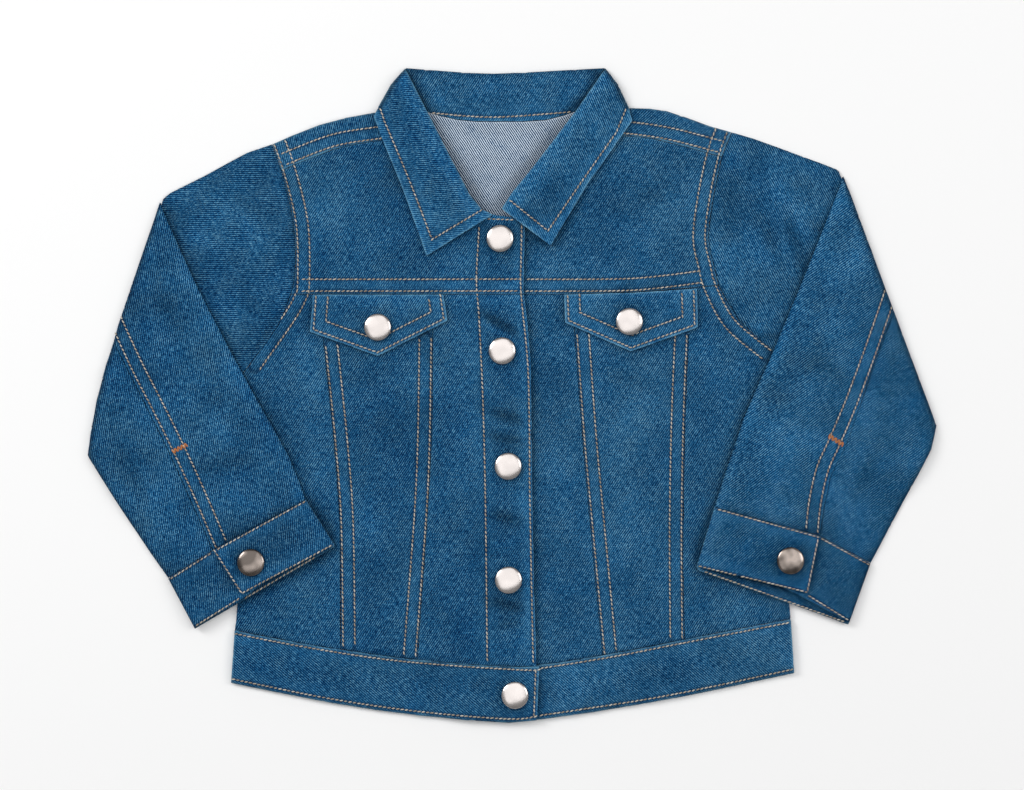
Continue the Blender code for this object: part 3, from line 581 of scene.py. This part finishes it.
fronts = [
    shell("front_yoke_left", DENIM_LEFT, ruffle=0.5, worn=0.5,
          seams=[YOKE_LEFT, ARMHOLE_LEFT], rows=[PLACKET_EDGE, PLACKET_INNER],
          creases=[((-84.0, 82.0), (-42.0, 96.0), 6.0, 0.5), ((-60.0, 124.0), (-88.0, 100.0), 7.0, -0.4)]),
    shell("front_yoke_right", DENIM_RIGHT, seams=[YOKE_RIGHT, ARMHOLE_RIGHT], ruffle=0.5, worn=0.5,
          creases=[((46.0, 96.0), (84.0, 82.0), 6.0, 0.5), ((94.0, 118.0), (66.0, 104.0), 6.0, -0.4)]),
    shell("side_panel_left", DENIM_LEFT, seams=[ARMHOLE_LEFT, *PANELS_LEFT], ruffle=0.5, folds=DIPS,
          worn=0.0, creases=[((-118.0, 34.0), (-104.0, -6.0), 5.0, 0.5)]),
    shell("middle_panel_left", DENIM_LEFT, seams=PANELS_LEFT, ruffle=0.5, folds=DIPS, worn=0.0,
          creases=[((-88.0, 6.0), (-58.0, 16.0), 5.0, -0.5), ((-84.0, -60.0), (-66.0, -96.0), 6.0, 0.4)]),
    shell("centre_panel_left", DENIM_LEFT, seams=PANELS_LEFT, rows=[PLACKET_EDGE, PLACKET_INNER],
          ruffle=0.5, folds=DIPS, worn=0.4,
          creases=[((-19.0, 46.0), (6.0, 32.0), 2.8, -1.7), ((-17.0, 40.0), (5.0, 27.0), 2.4, 0.8),
                   ((-16.0, -8.0), (8.0, -15.0), 3.6, -1.4), ((-16.0, -22.0), (8.0, -26.0), 3.2, -1.2),
                   ((-14.0, -64.0), (9.0, -72.0), 3.6, -1.4), ((-14.0, -84.0), (4.0, -80.0), 2.6, 0.6),
                   ((-13.0, -112.0), (9.0, -119.0), 3.4, -1.3), ((-12.0, -128.0), (6.0, -124.0), 3.2, -0.9)]),
    shell("side_panel_right", DENIM_RIGHT, seams=[ARMHOLE_RIGHT, *PANELS_RIGHT], ruffle=0.5, folds=DIPS,
          worn=0.0, creases=[((104.0, 40.0), (112.0, 4.0), 5.0, 0.5)]),
    shell("middle_panel_right", DENIM_RIGHT, seams=PANELS_RIGHT, ruffle=0.5, folds=DIPS, worn=0.0,
          creases=[((50.0, 14.0), (80.0, 4.0), 5.0, -0.5), ((56.0, -100.0), (78.0, -70.0), 6.0, 0.4)]),
    shell("centre_panel_right", DENIM_RIGHT, seams=PANELS_RIGHT, ruffle=0.5, folds=DIPS, worn=0.0,
          creases=[((16.0, -40.0), (36.0, -48.0), 4.0, 0.4)]),
]
topstitch("yoke_stitches_left", double_rows(YOKE_LEFT), fronts)
topstitch("yoke_stitches_right", double_rows(YOKE_RIGHT), fronts)
topstitch("panel_stitches_left", double_rows(*PANELS_LEFT), fronts)
topstitch("panel_stitches_right", double_rows(*PANELS_RIGHT), fronts)
topstitch("placket_stitches", [smooth_line(PLACKET_EDGE), smooth_line(PLACKET_INNER), PLACKET_TOP], fronts)


# The shoulders: the back's edge turned over to the front, lying on the yoke with a worn lower edge.
# Both armholes are stitched after the sleeves are set, so their rows run on over the strips.
SHOULDER_LEFT = [(-125.6, 129.5), (-98.6, 139.7), (-74.7, 143.8), (-52.0, 146.6)]
SHOULDER_RIGHT = [(44.0, 148.0), (66.0, 146.5), (87.5, 143.3), (115.2, 136.3)]
SHOULDER_TOP_LEFT = [(-133.0, 137.5), (-105.7, 148.6), (-76.2, 155.2), (-50.0, 157.0)]
SHOULDER_TOP_RIGHT = [(122.0, 144.2), (108.1, 148.1), (84.7, 156.2), (66.4, 157.7), (42.0, 158.0)]
strips = [
    shell("shoulder_strip_left", DENIM_LEFT, grain=20.0, seams=[SHOULDER_LEFT, ARMHOLE_LEFT],
          wall=TURNED, raise_edge=0.3, folds=[(SHOULDER_TOP_LEFT, 3.0, 1.6)], smooth=4),
    shell("shoulder_strip_right", DENIM_RIGHT, grain=-14.0, seams=[SHOULDER_RIGHT, ARMHOLE_RIGHT],
          wall=TURNED, raise_edge=0.3, folds=[(SHOULDER_TOP_RIGHT, 3.0, 1.6)], smooth=4),
]
topstitch("shoulder_stitches_left", double_rows(SHOULDER_LEFT), strips)
topstitch("shoulder_stitches_right", double_rows(SHOULDER_RIGHT), strips)
topstitch("armhole_stitches_left", double_rows(ARMHOLE_LEFT), fronts + strips)
topstitch("armhole_stitches_right", double_rows(ARMHOLE_RIGHT), fronts + strips)


# The pocket flaps: two layers turned out and pressed, pointed, sewn in under the yoke seam.
# One row runs near the edge and a second one a gauge further in.
FLAP_INSET = 1.8
ROW_END = 1.0  # a row starts and stops this far inside its ends
FLAPS = {
    "left": (DENIM_LEFT, [(-109.2, 56.0), (-110.8, 34.7), (-73.7, 21.4), (-35.5, 40.8), (-37.7, 56.0)]),
    "right": (DENIM_RIGHT, [(28.7, 56.0), (29.3, 39.7), (65.3, 24.0), (102.0, 37.2), (101.5, 58.0)]),
}


def inner_line(points, inset):
    """The open line through the points moved inwards, with its corners met; it turns left."""
    edges = []
    for (ax, ay), (bx, by) in zip(points, points[1:]):
        length = math.hypot(bx - ax, by - ay)
        ux, uy = (bx - ax) / length, (by - ay) / length
        edges.append((ax - uy * inset, ay + ux * inset, ux, uy))
    px, py, ux, uy = edges[0]
    line = [(px + ux * ROW_END, py + uy * ROW_END)]
    for (px, py, ux, uy), (qx, qy, vx, vy) in zip(edges, edges[1:]):
        cross = ux * vy - uy * vx
        if abs(cross) < 1e-3:
            line.append((qx, qy))
            continue
        along = ((qx - px) * vy - (qy - py) * vx) / cross
        line.append((px + ux * along, py + uy * along))
    px, py, ux, uy = edges[-1]
    reach = math.dist(points[-2], points[-1]) - ROW_END
    line.append((px + ux * reach, py + uy * reach))
    return line


for name, (finish, points) in FLAPS.items():
    rows = [inner_line(points, FLAP_INSET), inner_line(points, FLAP_INSET + 2 * GAUGE)]
    top = shell("pocket_flap_" + name, finish, rows=rows, wall=TURNED, smooth=10, ruffle=0.5)
    topstitch("flap_stitches_" + name, rows, [top])


# The hem band: one doubled strip round the bottom, its left end over its right end and stitched across.
# A row runs below its seam and another along its lower fold; the seam's pull leaves it puckered.
BAND_TOP_INSET, BAND_FOLD_INSET = 1.6, 2.4
BAND_TOP = {"left": [*HEM_SEAM_LEFT, (15.0, -149.0)], "right": HEM_SEAM_RIGHT}
BAND_BOTTOM = {
    "left": [(-154.5, -158.3), (-98.8, -169.4), (-50.4, -176.3), (-1.9, -180.2), (13.9, -178.7)],
    "right": [(15.7, -178.4), (71.2, -170.0), (112.0, -162.2), (155.2, -152.9)],
}
BAND_END = [(13.0, -151.0), (12.0, -177.0)]
BAND_CREASES = [
    ((24.0 + 9.5 * i, -150.0 + 1.6 * i), (29.0 + 9.5 * i, -172.0 + 1.9 * i), 1.9, 0.34 - 0.17 * (i % 3))
    for i in range(6)
]
for name, finish in (("left", DENIM_LEFT), ("right", DENIM_RIGHT)):
    rows = [
        beside_line(smooth_line(BAND_TOP[name]), -BAND_TOP_INSET),
        beside_line(smooth_line(BAND_BOTTOM[name]), BAND_FOLD_INSET),
    ]
    if name == "left":
        rows.append(BAND_END)
    top = shell("hem_band_" + name, finish, grain=82.0, rows=rows, wall=TURNED, ruffle=0.7,
                creases=BAND_CREASES, folds=[(BAND_BOTTOM[name], 2.6, 1.4)])
    topstitch("hem_stitches_" + name, rows, [top])
shell("hem_band_back", DENIM_LEFT, grid=HIDDEN_GRID, grain=90.0, wall=TURNED)


# The collar: two layers turned out, folded down at its roll. Behind the neck its stand shows its inner
# side, the fall lies flat under it, and the two leaves spread over the fronts, with a row near their edges.
ROLL_BACK = [(-58.6, 179.8), (-35.0, 178.0), (-10.2, 176.7), (25.0, 178.4), (51.3, 179.8)]
NECK_ROW = [(-43.9, 154.9), (-10.2, 152.6), (32.9, 155.5)]
LEAVES = {
    "left": {
        "finish": DENIM_LEFT,
        "grain": -61.0,
        "top": [(-73.4, 158.9), (-66.5, 171.0), (-58.6, 179.8)],
        "roll": [(-58.6, 179.8), (-46.5, 155.9), (-22.8, 109.5), (-16.6, 102.1), (-10.2, 99.0)],
        "row": [(-72.4, 157.6), (-70.0, 150.3), (-56.4, 118.0), (-43.9, 85.3), (-15.5, 102.1)],
        "creases": [((-62.0, 150.0), (-40.0, 128.0), 5.0, 0.5), ((-52.0, 112.0), (-34.0, 104.0), 4.0, -0.4)],
    },
    "right": {
        "finish": DENIM_RIGHT,
        "grain": 57.0,
        "top": [(64.0, 158.9), (58.5, 170.5), (51.3, 179.8)],
        "roll": [(51.3, 179.8), (35.5, 156.9), (11.0, 124.5), (0.3, 111.6), (-6.0, 102.1)],
        "row": [(62.6, 157.2), (57.2, 144.0), (38.2, 117.0), (19.7, 90.0), (-0.8, 106.4)],
        "creases": [((54.0, 152.0), (30.0, 136.0), 5.0, 0.5), ((34.0, 116.0), (18.0, 112.0), 4.0, -0.4)],
    },
}
shell("collar_fall", DENIM_LEFT, grid=HIDDEN_GRID, wall=TURNED)
stand = shell("collar_stand", DENIM_RIGHT, wall=TURNED, ruffle=0.8, worn=0.4, rows=[NECK_ROW],
              folds=[(ROLL_BACK, 6.0, 1.6)],
              creases=[((-50.0, 174.0), (-34.0, 156.0), 4.0, 0.9), ((43.0, 173.0), (26.0, 157.0), 4.0, 0.9),
                       ((-22.0, 172.0), (4.0, 165.0), 5.0, 0.5)])
topstitch("neck_stitches", [smooth_line(NECK_ROW)], [stand])
for name, leaf in LEAVES.items():
    start, *outer, end = leaf["row"]
    row = [start, *smooth_line(outer), end]
    top = shell("collar_leaf_" + name, leaf["finish"], grain=leaf["grain"], rows=[row], wall=TURNED,
                smooth=6, ruffle=0.8, folds=[(leaf["top"], 5.0, 6.0), (leaf["roll"], 5.0, 2.6)],
                creases=leaf["creases"])
    topstitch("collar_stitches_" + name, [row], [top])


# The sleeves, folded forward along their outer edge: single cloth, two panels to the forearm.
# The upper arm shows its front, set in below the armhole rows.
SEAM_EDGE = GAUGE + 1.65  # from the middle of two rows to the edge of the upper piece
SLEEVES = {
    "left": {
        "finish": DENIM_LEFT, "upper_grain": -56.0, "grain": 24.0,
        "top": [(-131.9, 137.9), (-145.5, 133.3), (-169.1, 120.5), (-187.8, 111.2), (-193.7, 106.3)],
        "outer": [(-193.7, 106.3), (-197.0, 96.0), (-216.4, 39.0), (-228.5, -3.0), (-233.5, -33.3)],
        "under": [(-233.5, -33.3), (-150.5, 8.0)],
        "inner": [(-193.7, 106.3), (-174.1, 62.6), (-154.4, 24.3), (-139.6, -3.0), (-122.2, -33.8),
                  (-113.0, -57.3)],
        "lower": [(-233.5, -33.3), (-217.5, -58.8), (-199.4, -86.1), (-189.0, -100.8)],
        "seam": [(-220.0, 46.5), (-205.5, 15.4), (-195.2, -4.5), (-182.8, -29.5), (-170.0, -57.6),
                 (-159.6, -82.2)],
        "tack": ((-178.6, -27.4), (-185.9, -31.0)),
        "armhole": beside_line(ARMHOLE_LEFT, -SEAM_EDGE), "outwards": -SEAM_EDGE,
        "upper_creases": [
            ((-186.0, 92.0), (-150.0, 76.0), 6.0, 0.7), ((-178.0, 58.0), (-146.0, 40.0), 6.0, 0.6),
            ((-160.0, 112.0), (-132.0, 98.0), 5.0, -0.6),
        ],
        "creases": [
            ((-196.0, 60.0), (-176.0, 20.0), 7.0, -0.7), ((-186.0, -2.0), (-150.0, -22.0), 6.0, 0.7),
            ((-222.0, -24.0), (-196.0, -62.0), 6.0, -0.7), ((-172.0, -40.0), (-136.0, -36.0), 5.0, -0.6),
            ((-206.0, -30.0), (-192.0, -70.0), 4.0, 0.6),
        ],
    },
    "right": {
        "finish": DENIM_RIGHT, "upper_grain": 61.0, "grain": -20.0,
        "top": [(120.6, 144.6), (132.6, 141.1), (158.1, 131.8), (178.8, 124.0), (182.2, 120.5)],
        "outer": [(182.2, 120.5), (186.0, 111.0), (206.0, 57.0), (228.4, -3.0), (233.5, -16.8)],
        "under": [(233.5, -16.8), (150.5, 15.5)],
        "inner": [(182.2, 120.5), (162.0, 69.5), (143.4, 24.3), (127.0, -13.0), (111.0, -61.4)],
        "lower": [(233.5, -16.8), (230.4, -30.1), (214.0, -61.0), (197.2, -92.6)],
        "seam": [(209.5, 61.0), (196.5, 24.2), (186.1, -4.0), (177.2, -25.1), (170.3, -40.6),
                 (166.2, -59.0), (164.6, -74.6)],
        "tack": ((174.1, -22.6), (181.4, -27.2)),
        "armhole": beside_line(ARMHOLE_RIGHT, SEAM_EDGE), "outwards": SEAM_EDGE,
        "upper_creases": [
            ((142.0, 120.0), (164.0, 84.0), 5.0, 1.1), ((150.0, 108.0), (160.0, 66.0), 4.0, -1.2),
            ((136.0, 104.0), (150.0, 66.0), 4.0, -0.8), ((122.0, 96.0), (146.0, 62.0), 6.0, 0.6),
            ((130.0, 36.0), (141.0, 40.0), 1.6, 0.7), ((134.0, 31.0), (146.0, 33.0), 1.6, -0.8),
            ((139.0, 27.5), (147.0, 27.0), 1.5, 0.7),
        ],
        "creases": [
            ((196.0, 78.0), (170.0, 56.0), 6.0, 0.7), ((160.0, 24.0), (188.0, 4.0), 6.0, -0.7),
            ((140.0, -16.0), (176.0, -30.0), 6.0, 0.7), ((206.0, -20.0), (188.0, -58.0), 5.0, -0.7),
            ((136.0, -40.0), (160.0, -52.0), 4.0, 0.6),
        ],
    },
}
for name, side in SLEEVES.items():
    finish = side["finish"]
    shell("sleeve_under_" + name, finish, grid=HIDDEN_GRID)
    dips = [(side["armhole"], 3.2, 1.1), (side["top"], 3.5, 1.4), (side["under"], 3.5, 1.4)]
    shell("upper_sleeve_" + name, finish, grain=side["upper_grain"], ruffle=0.9, folds=dips, worn=0.2,
          creases=side["upper_creases"])
    shell("forearm_under_" + name, finish, grid=HIDDEN_GRID, grain=side["grain"])
    folds = [(side["outer"], 4.5, 4.0), (side["inner"], 4.0, 1.7), (side["lower"], 4.5, 2.6)]
    under_the_seam = (beside_line(side["seam"], side["outwards"]), 2.4, 1.2)
    arms = [
        shell("forearm_" + piece + name, finish, grain=side["grain"], seams=[side["seam"]], ruffle=0.9,
              folds=folds + dip, creases=side["creases"], worn=0.3 if dip else 0.0)
        for piece, dip in (("inner_", []), ("outer_", [under_the_seam]))
    ]
    topstitch("sleeve_stitches_" + name, double_rows(side["seam"]), arms)


# The cuffs: doubled bands, the buttoned end over the other. The far layer shows as a sliver below.
CUFF_INSET = 0.75
CUFFS = {
    "left": {
        "corners": [(-113.0, -57.3), (-164.0, -85.2), (-148.4, -109.7), (-97.1, -82.3)],
        "under_rows": [[(-164.9, -86.7), (-188.6, -101.6)], [(-149.6, -111.6), (-174.0, -126.9)]],
        "inner_end": [(-113.0, -57.3), (-97.1, -82.3)],
        "outer_end": [(-189.0, -100.8), (-174.6, -127.9)],
        "far_row": [(-108.0, -88.9), (-146.5, -111.5)],
        "grain": 28.6,
    },
    "right": {
        "corners": [(101.1, -94.2), (162.4, -109.0), (168.9, -77.4), (111.0, -61.4)],
        "under_rows": [[(170.0, -78.9), (196.6, -93.4)], [(162.9, -110.2), (185.0, -123.8)]],
        "inner_end": [(111.0, -61.4), (101.1, -94.2)],
        "outer_end": [(197.2, -92.6), (185.4, -125.0)],
        "far_row": [(106.0, -97.0), (181.5, -124.2)],
        "grain": -15.0,
    },
}


def between(a, b, t):
    """The place that is the share t of the way from a to b."""
    return (a[0] * (1 - t) + b[0] * t, a[1] * (1 - t) + b[1] * t)


for name, cuff in CUFFS.items():
    first, second, third, fourth = cuff["corners"]
    row = inner_line(cuff["corners"], CUFF_INSET)
    creases = [(between(first, second, t), between(fourth, third, t), 1.8, 0.35) for t in (0.22, 0.38, 0.74)]
    far = shell("cuff_far_" + name, DENIM_CUFF, grid=4.0, grain=cuff["grain"], rows=[cuff["far_row"]],
                wall=TURNED)
    under = shell("cuff_under_" + name, DENIM_CUFF, grain=cuff["grain"], rows=cuff["under_rows"],
                  wall=TURNED, ruffle=0.7, folds=[(cuff["outer_end"], 3.5, 2.2)], worn=0.3)
    over = shell("cuff_over_" + name, DENIM_CUFF, grain=cuff["grain"], rows=[row], wall=TURNED, ruffle=0.8,
                 folds=[(cuff["inner_end"], 3.5, 1.6)], worn=0.3, creases=creases)
    topstitch("cuff_stitches_" + name, [row, *cuff["under_rows"]], [under, over])
    topstitch("far_cuff_stitches_" + name, [cuff["far_row"]], [far])


# The bar tacks: tight orange zigzags across the sleeve's rows, above the cuff's slit.
rust = bpy.data.materials.new("orange thread")
rust.use_nodes = True
rust.node_tree.nodes["Principled BSDF"].inputs["Base Color"].default_value = (0.42, 0.15, 0.045, 1.0)
rust.node_tree.nodes["Principled BSDF"].inputs["Roughness"].default_value = 0.6
TACK_STITCHES = 9
TACK_STITCH = (1.5, 0.48, 0.42)  # half length, half width and half height
TACK_LIFT = 0.15
TACK_SLANT = 12.0  # degrees
for name, side in SLEEVES.items():
    (ax, ay), (bx, by) = side["tack"]
    turn = math.atan2(by - ay, bx - ax) + math.radians(90.0)
    bm = bmesh.new()
    bm.from_mesh(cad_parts["forearm_inner_" + name].data)
    surface = BVHTree.FromBMesh(bm)
    bm.free()
    bm = bmesh.new()
    for i in range(TACK_STITCHES):
        t = i / (TACK_STITCHES - 1)
        x, y = ax + (bx - ax) * t, ay + (by - ay) * t
        matrix = (
            Matrix.Translation(down_on(surface, x * MM, y * MM) + Vector((0.0, 0.0, TACK_LIFT * MM)))
            @ Matrix.Rotation(turn + math.radians(TACK_SLANT * (-1) ** i), 4, "Z")
            @ Matrix.Diagonal((*(half * MM for half in TACK_STITCH), 1.0))
        )
        bmesh.ops.create_uvsphere(bm, u_segments=8, v_segments=6, radius=1.0, matrix=matrix)
    for face in bm.faces:
        face.smooth = True
    mesh = bpy.data.meshes.new("bar_tack_" + name)
    bm.to_mesh(mesh)
    bm.free()
    tack = linked("bar_tack_" + name, mesh, rust)
    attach(tack, "root")


# The buttons: plain domed metal caps pressed onto tacks from behind.
# They are bright satin nickel at the front and duller on the cuffs, with darker clouds painted on both as
# reflections, deeper on the cuffs.
CAP_PROFILE = [(5.6, -0.25), (7.0, 0.05), (7.42, 0.5), (7.5, 0.95), (7.35, 1.35), (6.95, 1.62), (6.3, 1.86),
               (5.0, 2.18), (3.2, 2.46), (1.4, 2.58), (0.0, 2.6)]


def metal(name, colour, roughness, reflection_dimming):
    """Plated metal, brushed fine, its colour darkened to the given share in clouds that are painted
    reflections.
    """
    made = bpy.data.materials.new(name)
    made.use_nodes = True
    tree = made.node_tree
    shader = tree.nodes["Principled BSDF"]
    shader.inputs["Metallic"].default_value = 1.0
    place = add(tree, "TexCoord").outputs["Object"]
    brushed = add(tree, "TexNoise", Vector=place, Scale=900.0, Detail=4.0).outputs["Fac"]
    cloudy = add(tree, "TexNoise", Vector=place, Scale=130.0, Detail=1.0).outputs["Fac"]
    # Painted reflection: in clouds the colour drops to the given share, standing in for dark reflections on
    # the cap.
    painted_reflection_colour = tuple(reflection_dimming * share for share in colour)
    shown = ramp(tree, cloudy, ((0.35, painted_reflection_colour), (0.62, colour)))
    tree.links.new(shown, shader.inputs["Base Color"])
    rough = add(tree, "MapRange", Value=brushed, To_Min=roughness - 0.04, To_Max=roughness + 0.06)
    tree.links.new(rough.outputs["Result"], shader.inputs["Roughness"])
    bump = add(tree, "Bump", Height=brushed, Strength=0.03, Distance=0.05 * MM)
    tree.links.new(bump.outputs["Normal"], shader.inputs["Normal"])
    return made


BRIGHT = metal("satin nickel", (0.63, 0.585, 0.565), 0.22, 0.88)
DULL = metal("dull nickel", (0.34, 0.29, 0.26), 0.22, 0.35)
for node in sorted(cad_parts):
    if not node.startswith("button_"):
        continue
    low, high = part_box(node)
    centre = Vector(((low[0] + high[0]) / 2, (low[1] + high[1]) / 2, low[2]))
    bm = bmesh.new()
    ring = [bm.verts.new((radius * MM, 0.0, rise * MM)) for radius, rise in CAP_PROFILE]
    for a, b in zip(ring, ring[1:]):
        bm.edges.new((a, b))
    bmesh.ops.spin(bm, geom=bm.verts[:] + bm.edges[:], cent=(0, 0, 0), axis=(0, 0, 1), angle=math.tau,
                   steps=56, use_merge=True)
    bmesh.ops.remove_doubles(bm, verts=bm.verts[:], dist=0.005 * MM)
    bmesh.ops.holes_fill(bm, edges=[edge for edge in bm.edges if edge.is_boundary])
    bmesh.ops.recalc_face_normals(bm, faces=bm.faces[:])
    bmesh.ops.translate(bm, verts=bm.verts[:], vec=centre)
    for face in bm.faces:
        face.smooth = len(face.verts) < 5
    mesh = bpy.data.meshes.new(node + "_cap")
    bm.to_mesh(mesh)
    bm.free()
    on_cuff = node.startswith("button_cuff")
    cap = linked(node + "_cap", mesh, DULL if on_cuff else BRIGHT)
    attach(cap, "root")
    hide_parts(node)
